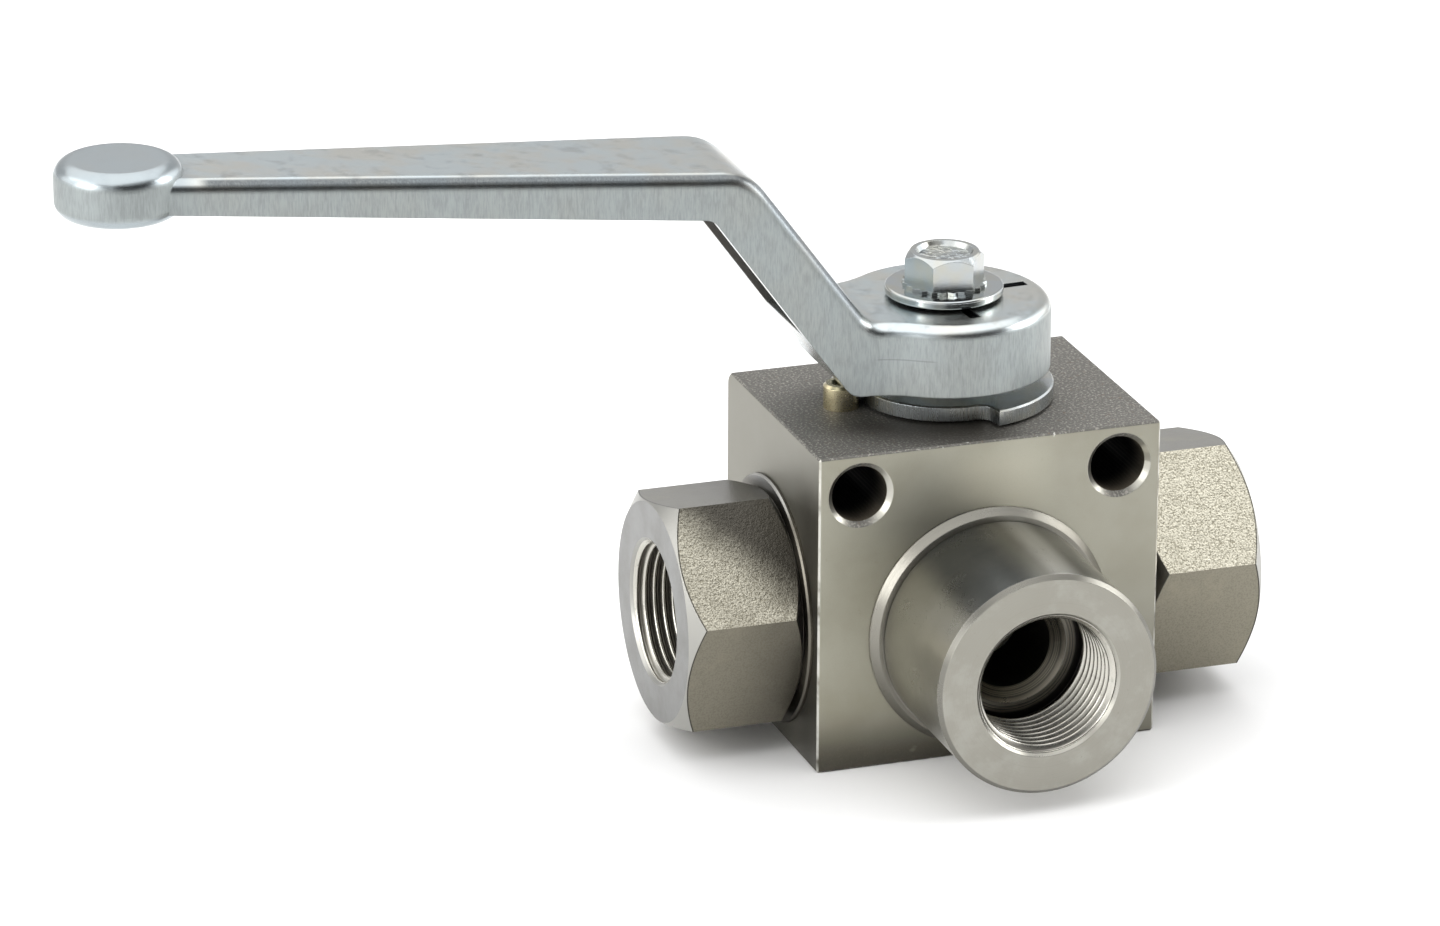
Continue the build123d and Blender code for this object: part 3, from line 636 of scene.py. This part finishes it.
@dataclass(frozen=True)
class HexagonSteel:
    """Plated hexagon bar: coarse sparkling flats with painted light and shade, turned ends and
    chamfers, a bore painted black as shade.
    """

    axis: PortAxis = PortAxis.SIDE
    reach: float = 56.0
    face_radius: float = 20.5
    chamfer_slope: float = math.tan(math.radians(35.0))
    flat_radius: Span = (20.3, 20.5)
    line_place: float = -0.14
    line_half_width: float = 0.18
    painted_shade_slope: float = 1.3
    painted_shade_wander: float = 4.0
    painted_shade_reach: Span = (2.0, 16.0)
    top_painted_shade_x: Span = (-54.0, -34.0)
    low_painted_shade_x: Span = (-51.0, -36.0)
    left_side_x: Span = (0.0, -1.0)
    collar_x: Span = (34.1, 33.9)
    collar_height: Span = (47.5, 44.0)
    chamfer: Colour = (0.37, 0.365, 0.34)
    collar_shade_brown: Colour = (0.110, 0.100, 0.080)
    painted_shade: Colour = (0.065, 0.060, 0.052)
    grain_light: Colour = (0.76, 0.725, 0.60)
    grain_dark: Colour = (0.330, 0.305, 0.232)
    top_flat_shade: Colour = (0.155, 0.150, 0.135)
    lower_flat_reflection: Colour = (0.205, 0.19, 0.148)
    turned: Colour = (0.235, 0.235, 0.230)
    turned_dull: Colour = (0.185, 0.183, 0.172)
    line: Colour = (0.03, 0.03, 0.03)

    def make(self) -> bpy.types.Material:
        """Makes the material."""
        bench = Bench("hexagon_steel")
        radius, facing, grooves = TurnedLook(self.axis).marks(bench)
        flats = facing.rise(0.3, 0.12) * radius.rise(*self.flat_radius)
        grain = bench.noise(0.32, 2, shift=1)
        pits = bench.noise(0.7, 2, shift=6)
        clouds = bench.noise(7, 3)
        inside = radius.rise(*BORE_WALL)

        turned = bench.blend(clouds.rise(0.3, 0.75), self.turned, self.turned_dull)
        turned = bench.blend(facing.rise(0.97, 0.88), turned, self.chamfer)
        colour = bench.blend(flats, turned, self.flat_colour(bench, grain, clouds))
        # Painted shade on the collar at the block, all but its top.
        collar = abs(bench.x).rise(*self.collar_x) * bench.z.rise(*self.collar_height)
        colour = bench.blend(collar * 0.9, colour, self.collar_shade_brown)
        edge = abs(bench.x) + (radius - self.face_radius) * self.chamfer_slope - self.reach
        line = edge.band(self.line_place, self.line_half_width) * flats
        colour = bench.blend(line * 0.85, colour, self.line)
        # Painted shade down the adapter's bore.
        colour = bench.blend(inside, colour, BORE_SHADE)

        sparkling = 1 - abs(bench.nz - 0.66).rise(0.1, 0.3) * 0.7
        rough = 0.30 + clouds * 0.08 + flats * (grain * 0.1 - 0.04) + inside * 0.3
        height = flats * sparkling * (grain * 0.5 + pits * 0.5) + (1 - flats) * grooves * 0.06
        return bench.finish(colour, rough, bench.relief(height, 0.15, 0.2))

    def flat_colour(self, bench: Bench, grain: Field, clouds: Field) -> Field:
        """Colour of the flats: darker grey painted as shade on top, a painted olive reflection below,
        painted shade toward the block on the left side.

        Args:
            bench: The material's bench.
            grain: A fine pattern.
            clouds: A soft wide pattern.

        Returns:
            The colour.
        """
        on_top = bench.nz.rise(*END_FACE)
        beneath = bench.nz.rise(0.1, -0.2)
        flat = bench.blend(grain.rise(0.36, 0.58), self.grain_dark, self.grain_light)
        # Painted shade darkens the top flats, and a painted reflection of the shaded floor colours the
        # lower flats olive.
        flat = bench.blend(on_top * 0.9, flat, self.top_flat_shade)
        flat = bench.blend(beneath * 0.9, flat, self.lower_flat_reflection)
        flat = bench.blend(clouds.rise(0.5, 0.75) * 0.4, flat, self.grain_dark)

        # Painted shade on the left adapter's flats toward the block, along a slanted edge, with extra
        # on the top and lower flats.
        slant = bench.x + bench.z * self.painted_shade_slope + clouds * self.painted_shade_wander
        painted_shade = (slant.rise(*self.painted_shade_reach) * 0.7 + 0.25) * (1 - on_top) * (1 - beneath)
        painted_shade = painted_shade + on_top * bench.x.rise(*self.top_painted_shade_x) * 0.75
        low_painted_shade = bench.x.rise(*self.low_painted_shade_x) * (0.2 + clouds * 0.5) + 0.1
        painted_shade = (painted_shade + beneath * low_painted_shade) * bench.x.rise(*self.left_side_x)
        return bench.blend(painted_shade.at_most(0.95), flat, self.painted_shade)


@dataclass(frozen=True)
class ThreadSteel:
    """Cut thread: bright crests and lead-in, roots painted dark as shade."""

    axis: PortAxis
    root_radius: Span = (12.35, 13.1)
    lead_in: Span = (55.0, 54.3)
    crest: Colour = (0.56, 0.545, 0.49)
    root_shade: Colour = (0.085, 0.076, 0.062)

    def make(self) -> bpy.types.Material:
        """Makes the material."""
        bench = Bench(f"{self.axis.name.lower()}_thread_steel")
        grain = bench.noise(0.3, 2)
        smears = bench.noise(1.5, 3, shift=4)
        along = abs((bench.x, bench.y, bench.z)[self.axis.along])
        # Painted shade in the thread's roots, past the bright lead-in.
        depth = bench.radius(self.axis).rise(*self.root_radius) * along.rise(*self.lead_in)
        colour = bench.blend(depth * 0.92, self.crest, self.root_shade)
        colour = bench.blend(smears.rise(0.55, 0.75) * 0.4, colour, self.root_shade)
        rough = 0.20 + depth * 0.2 + grain * 0.1
        return bench.finish(colour, rough, bench.relief(grain, 0.006))


@dataclass(frozen=True)
class CastZinc:
    """Bluish zinc on the cast lever: linished sides, smoother top, faint coloured bloom."""

    knob_x: Span = (-141.0, -146.0)
    rim_start_x: Span = (-17.0, -22.0)
    rim_end_x: Span = (-143.0, -140.0)
    channel_y: Span = (4.5, 5.5)
    channel_x: Span = (-14.0, -16.0)
    witness_height: float = 74.3
    witness_half_width: float = 0.18
    witness_left_x: Span = (-18.5, -17.0)
    witness_right_x: Span = (-7.5, -9.0)
    mark_reach: Span = (17.0, 16.8)
    mark_floor: Span = (79.8, 79.9)
    mark_edge: Span = (80.55, 80.4)
    blue: Colour = (0.50, 0.555, 0.575)
    straw: Colour = (0.53, 0.53, 0.495)
    knob_blue: Colour = (0.33, 0.375, 0.40)
    side_grey: Colour = (0.325, 0.352, 0.347)
    brown: Colour = (0.40, 0.375, 0.345)
    dull: Colour = (0.19, 0.203, 0.205)
    channel_shade: Colour = (0.125, 0.115, 0.105)
    rim_dark_reflection: Colour = (0.085, 0.094, 0.102)
    mark_shade: Colour = (0.035, 0.037, 0.04)

    def make(self) -> bpy.types.Material:
        """Makes the material."""
        bench = Bench("cast_zinc")
        side = abs(bench.nz).rise(0.45, 0.12)
        brushing = bench.noise(0.30, 3, stretch=(1, 1, 0.13))
        orange_peel = bench.noise(1.3, 2, shift=4)
        specks = bench.noise(0.4, 3, shift=6)

        colour = bench.blend(side * 0.85, self.top_colour(bench), self.side_grey)
        strokes = bench.noise(1.0, 3, stretch=(1, 1, 0.20), shift=9)
        brushed = side * (brushing * 0.6 + strokes * 0.4).rise(0.4, 0.65)
        colour = bench.blend(brushed * 0.4, colour, self.dull)
        colour = bench.blend(specks.rise(0.66, 0.74) * 0.35, colour, self.dull)
        # Painted reflection: a dark band along the rounded top edges of the arm and the crank.
        colour = bench.blend(self.rim(bench) * (0.6 + brushing * 0.5), colour, self.rim_dark_reflection)
        # Painted shade inside the hub's two position marks.
        colour = bench.blend(self.position_marks(bench), colour, self.mark_shade)
        colour = bench.blend(self.witness_line(bench) * 0.5, colour, self.dull)
        # Painted shade on the far wall of the hollow under the lever.
        colour = bench.blend(self.channel_wall(bench) * 0.95, colour, self.channel_shade)

        rough = 0.20 + side * (0.14 + brushing * 0.12) + orange_peel * 0.06 + specks * 0.03
        height = side * brushing * 0.75 + orange_peel * 0.25 + specks * 0.10
        return bench.finish(colour, rough, bench.relief(height, 0.025, 0.3))

    def top_colour(self, bench: Bench) -> Field:
        """Colour of the smooth top: blue and straw bloom, dull and brown patches, a deeper knob."""
        bloom = bench.noise(12, 3, shift=2).rise(0.38, 0.66)
        dull = bench.noise(4, 3, shift=12).rise(0.5, 0.75)
        brown = bench.noise(2.2, 3, shift=15).rise(0.56, 0.72)
        colour = bench.blend(bloom, self.blue, self.straw)
        colour = bench.blend(dull * 0.35, colour, self.dull)
        colour = bench.blend(brown * 0.22, colour, self.brown)
        return bench.blend(bench.x.rise(*self.knob_x) * 0.8, colour, self.knob_blue)

    def rim(self, bench: Bench) -> Field:
        """1 along the rounded edges between the arm's and the crank's sides and top, where a dark
        reflection is painted.
        """
        rounded = abs(bench.ny).band(0.62, 0.42) * bench.nz.rise(0.08, 0.28)
        return rounded * bench.x.rise(*self.rim_start_x) * bench.x.rise(*self.rim_end_x)

    def channel_wall(self, bench: Bench) -> Field:
        """1 on the far wall of the hollow under the crank and the arm, which is painted dark as shade.
        """
        return bench.y.rise(*self.channel_y) * bench.ny.rise(-0.3, -0.7) * bench.x.rise(*self.channel_x)

    def witness_line(self, bench: Bench) -> Field:
        """1 along a short faint line on the front of the hub, left by the casting die."""
        run = bench.x.rise(*self.witness_left_x) * bench.x.rise(*self.witness_right_x)
        line = bench.z.band(self.witness_height, self.witness_half_width)
        return line * run * bench.ny.rise(-0.3, -0.6)

    def position_marks(self, bench: Bench) -> Field:
        """1 inside the hub's two position marks, which are all that lies just under its top."""
        depth = bench.z.rise(*self.mark_edge) * bench.z.rise(*self.mark_floor)
        return depth * bench.radius(PortAxis.STEM).rise(*self.mark_reach)


@dataclass(frozen=True)
class PlatedSteel:
    """Bright zinc on small pressed and headed parts."""

    name: str
    blue: Colour = (0.42, 0.45, 0.463)
    straw: Colour = (0.44, 0.44, 0.40)
    dull: Colour = (0.21, 0.222, 0.226)
    roughness: float = 0.17
    edge_marks: float = 0.0
    grain_share: float = 1.0
    dish_height: Span | None = None
    dish_radius: Span = (4.9, 4.3)

    def make(self) -> bpy.types.Material:
        """Makes the material."""
        bench = Bench(self.name)
        bloom = bench.noise(5, 2, shift=3)
        grain = bench.noise(0.35, 3)
        shear = bench.noise(0.28, 2, stretch=(1, 1, 0.05), shift=8)
        side = abs(bench.nz).rise(0.6, 0.2)
        marked = side * shear.rise(0.35, 0.65) * self.edge_marks
        colour = bench.blend(bloom.rise(0.35, 0.65), self.blue, self.straw)
        colour = bench.blend(marked, colour, self.dull)
        colour = bench.blend(grain.rise(0.6, 0.75) * 0.25 * self.grain_share, colour, self.dull)
        rough = self.roughness + grain * 0.08 + marked * 0.15
        height = grain * 0.12 * self.grain_share + side * shear * self.edge_marks
        if self.dish_height:
            dish = bench.radius(PortAxis.STEM).rise(*self.dish_radius)
            dish = dish * bench.z.rise(*self.dish_height)
            dents = bench.noise(1.3, 2, shift=21)
            colour = bench.blend(dish * dents.rise(0.5, 0.62) * 0.7, colour, self.dull)
            height = height + dish * dents.rise(0.4, 0.6) * 2.5
        return bench.finish(colour, rough, bench.relief(height, 0.05, 0.12))


@dataclass(frozen=True)
class PlainFinish:
    """Finish of an inner part: one colour with fine grain and turning marks."""

    name: str
    colour: Colour
    dark: Colour
    roughness: float
    metallic: float = 1.0
    axis: PortAxis = PortAxis.STEM
    bore_wall: Span | None = None
    depth: float = 0.006

    def make(self) -> bpy.types.Material:
        """Makes the material."""
        bench = Bench(self.name)
        grooves = TurnedLook(self.axis).marks(bench)[-1]
        grain = bench.noise(0.3, 3)
        clouds = bench.noise(6, 3)
        colour = bench.blend(clouds * 0.5 + grain * 0.3, self.colour, self.dark)
        if self.bore_wall:
            # Painted shade down the bore through the ball.
            from_bore = bench.radius(PortAxis.SIDE).at_most(bench.radius(PortAxis.FRONT))
            colour = bench.blend(from_bore.rise(*self.bore_wall), colour, BORE_SHADE)
        rough = self.roughness + grain * 0.12
        height = grooves * 0.7 + grain * 0.3
        return bench.finish(colour, rough, bench.relief(height, self.depth, 0.1), self.metallic)


# ---------------------------------------------------------------- mesh helpers


def make_object(
    name: str, points: Sequence[Sequence[float]], faces: Sequence[Sequence[int]], smooth: bool = True
) -> bpy.types.Object:
    """Makes a mesh object.

    Args:
        name: Object name.
        points: Vertices in millimetres, in the model's frame.
        faces: Vertex indices of each face.
        smooth: Whether it is shaded smooth.

    Returns:
        The object, linked to the scene.
    """
    mesh = bpy.data.meshes.new(name)
    mesh.from_pydata([Vector(point) * MM for point in points], [], faces)
    mesh.polygons.foreach_set("use_smooth", [smooth] * len(mesh.polygons))
    mesh.update()
    made = bpy.data.objects.new(name, mesh)
    bpy.context.scene.collection.objects.link(made)
    return made


def dress_node(node: str, material: bpy.types.Material) -> None:
    """Gives a CAD node its material.

    Args:
        node: The node's name.
        material: The material for all its slots.
    """
    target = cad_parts[node]
    if not target.material_slots:
        target.data.materials.append(material)
    for slot in target.material_slots:
        slot.material = material
    log.info("dressed %s with %s", node, material.name)


# ---------------------------------------------------------------- sub-assemblies


@dataclass
class ValveBlock:
    """The machined block that everything is screwed into."""

    finish: BlockSteel = BlockSteel()

    def build(self) -> None:
        """Dresses the block."""
        dress_node("valve_block", self.finish.make())


@dataclass
class PipeThread:
    """Internal parallel pipe thread, cut from a plain bore as one closed ring."""

    name: str
    direction: Vector
    major_radius: float = 13.22
    minor_radius: float = 12.06
    pitch: float = 1.814
    start: float = 41.0
    reach: float = 56.0
    mouth_radius: float = 13.75
    embed: float = 0.04
    steps_round: int = 120
    steps_per_pitch: int = 12

    def surface_radius(self, along: float, turn: float) -> float:
        """Radius of the thread's surface.

        Args:
            along: Distance from the stem's axis along the port.
            turn: Share of a full turn round the port.

        Returns:
            The radius; the thread form is a wave, cut back by the mouth's chamfer.
        """
        mean = (self.major_radius + self.minor_radius) / 2
        swing = (self.major_radius - self.minor_radius) / 2
        wave = mean - swing * math.cos(2 * math.pi * (along / self.pitch - turn))
        chamfer = self.mouth_radius - (self.reach - along)
        return max(wave, chamfer)

    def build(self, material: bpy.types.Material) -> bpy.types.Object:
        """Builds the thread ring and rides it on the housing.

        Args:
            material: Its finish.

        Returns:
            The ring.
        """
        end = self.reach - (self.mouth_radius - self.major_radius)
        rings = round((end - self.start) / self.pitch * self.steps_per_pitch)
        levels = [self.start + (end - self.start) * ring / rings for ring in range(rings + 1)]
        across = Vector((0, 0, 1)).cross(self.direction)
        centre = Vector((0, 0, PORT_HEIGHT))
        back = self.major_radius + self.embed
        profile = [*((along, None) for along in levels), (end, back), (self.start, back)]
        points = []
        for along, fixed in profile:
            for step in range(self.steps_round):
                turn = step / self.steps_round
                angle = 2 * math.pi * turn
                radius = fixed or self.surface_radius(along, turn)
                outward = across * math.cos(angle) + Vector((0, 0, math.sin(angle)))
                points.append(centre + self.direction * along + outward * radius)
        faces = []
        count = len(profile)
        for ring in range(count):
            for step in range(self.steps_round):
                here = ring * self.steps_round
                there = (ring + 1) % count * self.steps_round
                onward = (step + 1) % self.steps_round
                faces.append((here + step, here + onward, there + onward, there + step))
        made = make_object(self.name, points, faces)
        made.data.materials.append(material)
        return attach(made, HOUSING)


@dataclass
class Ports:
    """The three port adapters with their threads."""

    barrel: BarrelSteel = BarrelSteel()
    hexagon: HexagonSteel = HexagonSteel()

    def build(self) -> None:
        """Dresses the adapters and cuts their threads."""
        hexagon = self.hexagon.make()
        barrel = self.barrel.make()
        side_thread = ThreadSteel(PortAxis.SIDE).make()
        front_thread = ThreadSteel(PortAxis.FRONT).make()
        ports = (
            ("left", Vector((-1, 0, 0)), hexagon, side_thread, "hexagon_bar"),
            ("right", Vector((1, 0, 0)), hexagon, side_thread, "hexagon_bar"),
            ("front", Vector((0, -1, 0)), barrel, front_thread, "turned_barrel"),
        )
        for side, direction, finish, thread_finish, slot in ports:
            dress_node(f"{side}_adapter", finish)
            thread = PipeThread(f"{side}_port_thread", direction).build(thread_finish)
            log.info("cut %s", thread.name)


@dataclass
class InnerParts:
    """Seats, seals, ball and stem."""

    rubber: PlainFinish = PlainFinish(
        "seal_rubber", (0.018, 0.018, 0.019), (0.03, 0.03, 0.03), 0.5, metallic=0.0
    )
    chrome: PlainFinish = PlainFinish(
        "ball_chrome", (0.70, 0.70, 0.69), (0.58, 0.58, 0.57), 0.10, bore_wall=(10.15, 9.95)
    )
    steel: PlainFinish = PlainFinish("stem_steel", (0.50, 0.49, 0.46), (0.36, 0.35, 0.32), 0.28)
    seat_white: Colour = (0.80, 0.77, 0.68)
    seat_cream: Colour = (0.66, 0.62, 0.52)

    def build(self) -> None:
        """Dresses every inner part."""
        plastics = {axis: self.seat_plastic(axis).make() for axis in PortAxis}
        rubber = self.rubber.make()
        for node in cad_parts:
            if "seal" in node:
                dress_node(node, rubber)
            elif node in ("left_seat", "right_seat"):
                dress_node(node, plastics[PortAxis.SIDE])
            elif node in ("front_seat", "rear_seat"):
                dress_node(node, plastics[PortAxis.FRONT])
        for node in ("stem_thrust_washer", "stem_backup_ring"):
            dress_node(node, plastics[PortAxis.STEM])
        dress_node("ball", self.chrome.make())
        dress_node("stem", self.steel.make())

    def seat_plastic(self, axis: PortAxis) -> PlainFinish:
        """Finish of a plastic ring turned about an axis."""
        name = f"seat_plastic_{axis.name.lower()}"
        return PlainFinish(
            name, self.seat_white, self.seat_cream, 0.42, metallic=0.0, axis=axis, depth=0.01
        )


@dataclass
class TravelStop:
    """The notched disc on the stem and the pin that it turns against."""

    disc: PlatedSteel = PlatedSteel("disc_zinc", edge_marks=0.6, roughness=0.2)
    pin: PlatedSteel = PlatedSteel(
        "pin_zinc",
        blue=(0.56, 0.51, 0.37),
        straw=(0.60, 0.53, 0.34),
        dull=(0.34, 0.31, 0.22),
        roughness=0.24,
        grain_share=0.3,
    )

    def build(self) -> None:
        """Dresses the disc and the pin."""
        dress_node("stop_disc", self.disc.make())
        dress_node("stop_pin", self.pin.make())


@dataclass
class HandLever:
    """The cast lever with its washers and screw."""

    casting: CastZinc = CastZinc()
    washer: PlatedSteel = PlatedSteel("washer_zinc", roughness=0.12)
    tooth_washer: PlatedSteel = PlatedSteel("tooth_washer_zinc", roughness=0.2)
    screw: PlatedSteel = PlatedSteel("screw_zinc", roughness=0.14, dish_height=(87.6, 87.9))

    def build(self) -> None:
        """Dresses the lever and what holds it."""
        dress_node("lever", self.casting.make())
        dress_node("lever_washer", self.washer.make())
        dress_node("tooth_washer", self.tooth_washer.make())
        dress_node("lever_screw", self.screw.make())


# ---------------------------------------------------------------- studio


@dataclass(frozen=True)
class Softbox:
    """A rectangular studio light."""

    name: str
    place: tuple[float, float, float]
    aim: tuple[float, float, float]
    width: float
    height: float
    power: float
    colour: Colour = (1.0, 1.0, 1.0)

    def hang(self) -> None:
        """Hangs the light, in metres."""
        data = bpy.data.lights.new(self.name, "AREA")
        data.shape = "RECTANGLE"
        data.size = self.width
        data.size_y = self.height
        data.energy = self.power
        data.color = self.colour
        lamp = bpy.data.objects.new(self.name, data)
        lamp.location = self.place
        toward = Vector(self.aim) - Vector(self.place)
        lamp.rotation_euler = toward.to_track_quat("-Z", "Y").to_euler()
        bpy.context.scene.collection.objects.link(lamp)


@dataclass(frozen=True)
class RoomGlow:
    """The room round the table: pale walls, bright to the left and right, dim beyond the front.

    Its spans are shares of the direction that one looks in: 1 is straight along an axis.
    """

    walls: float = 0.70
    ceiling: float = 0.20
    left: float = 1.3
    right: float = 1.3
    front_dimming: float = 0.93
    ceiling_rise: Span = (0.6, 0.95)
    left_x: Span = (-0.55, -0.8)
    right_x: Span = (0.7, 0.88)
    above_floor: Span = (0.0, 0.15)
    front_y: Span = (-0.2, -0.45)
    front_middle: float = 0.2
    front_half_width: Span = (0.56, 0.42)
    front_top: Span = (0.76, 0.62)

    def make(self) -> bpy.types.World:
        """Makes the world."""
        world = bpy.data.worlds.new("room")
        world.use_nodes = True
        bench = NodeBench(world.node_tree)
        toward = bench.add("ShaderNodeTexCoord", output="Generated")
        x = bench.add("ShaderNodeSeparateXYZ", inputs={"Vector": toward})
        y, z = x.sibling("Y"), x.sibling("Z")
        above = z.rise(*self.above_floor)
        glow = self.walls + self.ceiling * z.rise(*self.ceiling_rise)
        glow = glow + self.left * x.rise(*self.left_x) * above
        glow = glow + self.right * x.rise(*self.right_x) * above
        front = y.rise(*self.front_y) * abs(x - self.front_middle).rise(*self.front_half_width)
        strength = glow * (1 - front * z.rise(*self.front_top) * self.front_dimming)
        inputs = {"Color": (1.0, 1.0, 1.0, 1.0), "Strength": strength}
        background = bench.add("ShaderNodeBackground", inputs=inputs)
        output = bench.tree.nodes.new("ShaderNodeOutputWorld")
        bench.tree.links.new(background.socket, output.inputs["Surface"])
        return world


@dataclass
class Studio:
    """Pale floor, soft light and the camera."""

    floor_size: float = 8.0
    camera_place: tuple[float, float, float] = (-452.22, -1192.03, 524.39)
    azimuth: float = -18.941
    elevation: float = 20.524
    roll: float = 0.263
    lens: float = 184.43
    sensor_width: float = 36.0
    sight: float = 50.0
    room: RoomGlow = RoomGlow()
    floor_white: Colour = (0.90, 0.90, 0.90)
    floor_grey: Colour = (0.87, 0.87, 0.87)

    def build(self) -> None:
        """Sets up the whole studio."""
        self.lay_floor()
        self.light_room()
        self.place_camera()

    def lay_floor(self) -> None:
        """Lays a large pale floor with a slight mottle."""
        half = self.floor_size / MM / 2
        corners = [(-half, -half, 0), (half, -half, 0), (half, half, 0), (-half, half, 0)]
        floor = make_object("floor", corners, [(0, 1, 2, 3)], smooth=False)
        bench = Bench("floor_paper")
        mottle = bench.noise(60, 2)
        colour = bench.blend(mottle * 0.3, self.floor_white, self.floor_grey)
        normal = bench.relief(mottle, 0.01)
        floor.data.materials.append(bench.finish(colour, 0.9, normal, metallic=0.0))

    def light_room(self) -> None:
        """Hangs the softboxes and gives the room its glow."""
        boxes = (
            Softbox("overhead", (-0.2, 0.4, 1.8), (0, 0, 0), 3.6, 3.6, 44),
            Softbox("left_box", (-1.5, -0.4, 0.7), (0, 0, 0.05), 0.8, 0.9, 8),
            Softbox("right_box", (1.4, -0.3, 0.7), (0, 0, 0.05), 0.6, 0.9, 7),
        )
        for box in boxes:
            box.hang()
        bpy.context.scene.world = self.room.make()
        bpy.context.scene.view_settings.view_transform = "Standard"

    def place_camera(self) -> None:
        """Places the camera where the valve is seen from the front left, from a little above."""
        turn = Matrix.Rotation(math.radians(self.azimuth), 3, "Z")
        tilt = Matrix.Rotation(math.radians(90 - self.elevation), 3, "X")
        lean = Matrix.Rotation(math.radians(self.roll), 3, "Z")
        data = bpy.data.cameras.new("camera")
        data.lens = self.lens
        data.sensor_width = self.sensor_width
        data.clip_end = self.sight
        camera = bpy.data.objects.new("camera", data)
        matrix = (turn @ tilt @ lean).to_4x4()
        matrix.translation = Vector(self.camera_place) * MM
        camera.matrix_world = matrix
        bpy.context.scene.collection.objects.link(camera)
        bpy.context.scene.camera = camera


def main() -> None:
    """Builds and dresses the valve, then the studio."""
    logging.basicConfig(level=logging.INFO, format="%(name)s: %(message)s")
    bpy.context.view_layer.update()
    assemblies = (ValveBlock(), Ports(), InnerParts(), TravelStop(), HandLever(), Studio())
    for assembly in assemblies:
        assembly.build()
        log.info("%s is done", type(assembly).__name__)


if __name__ == "__main__":
    main()
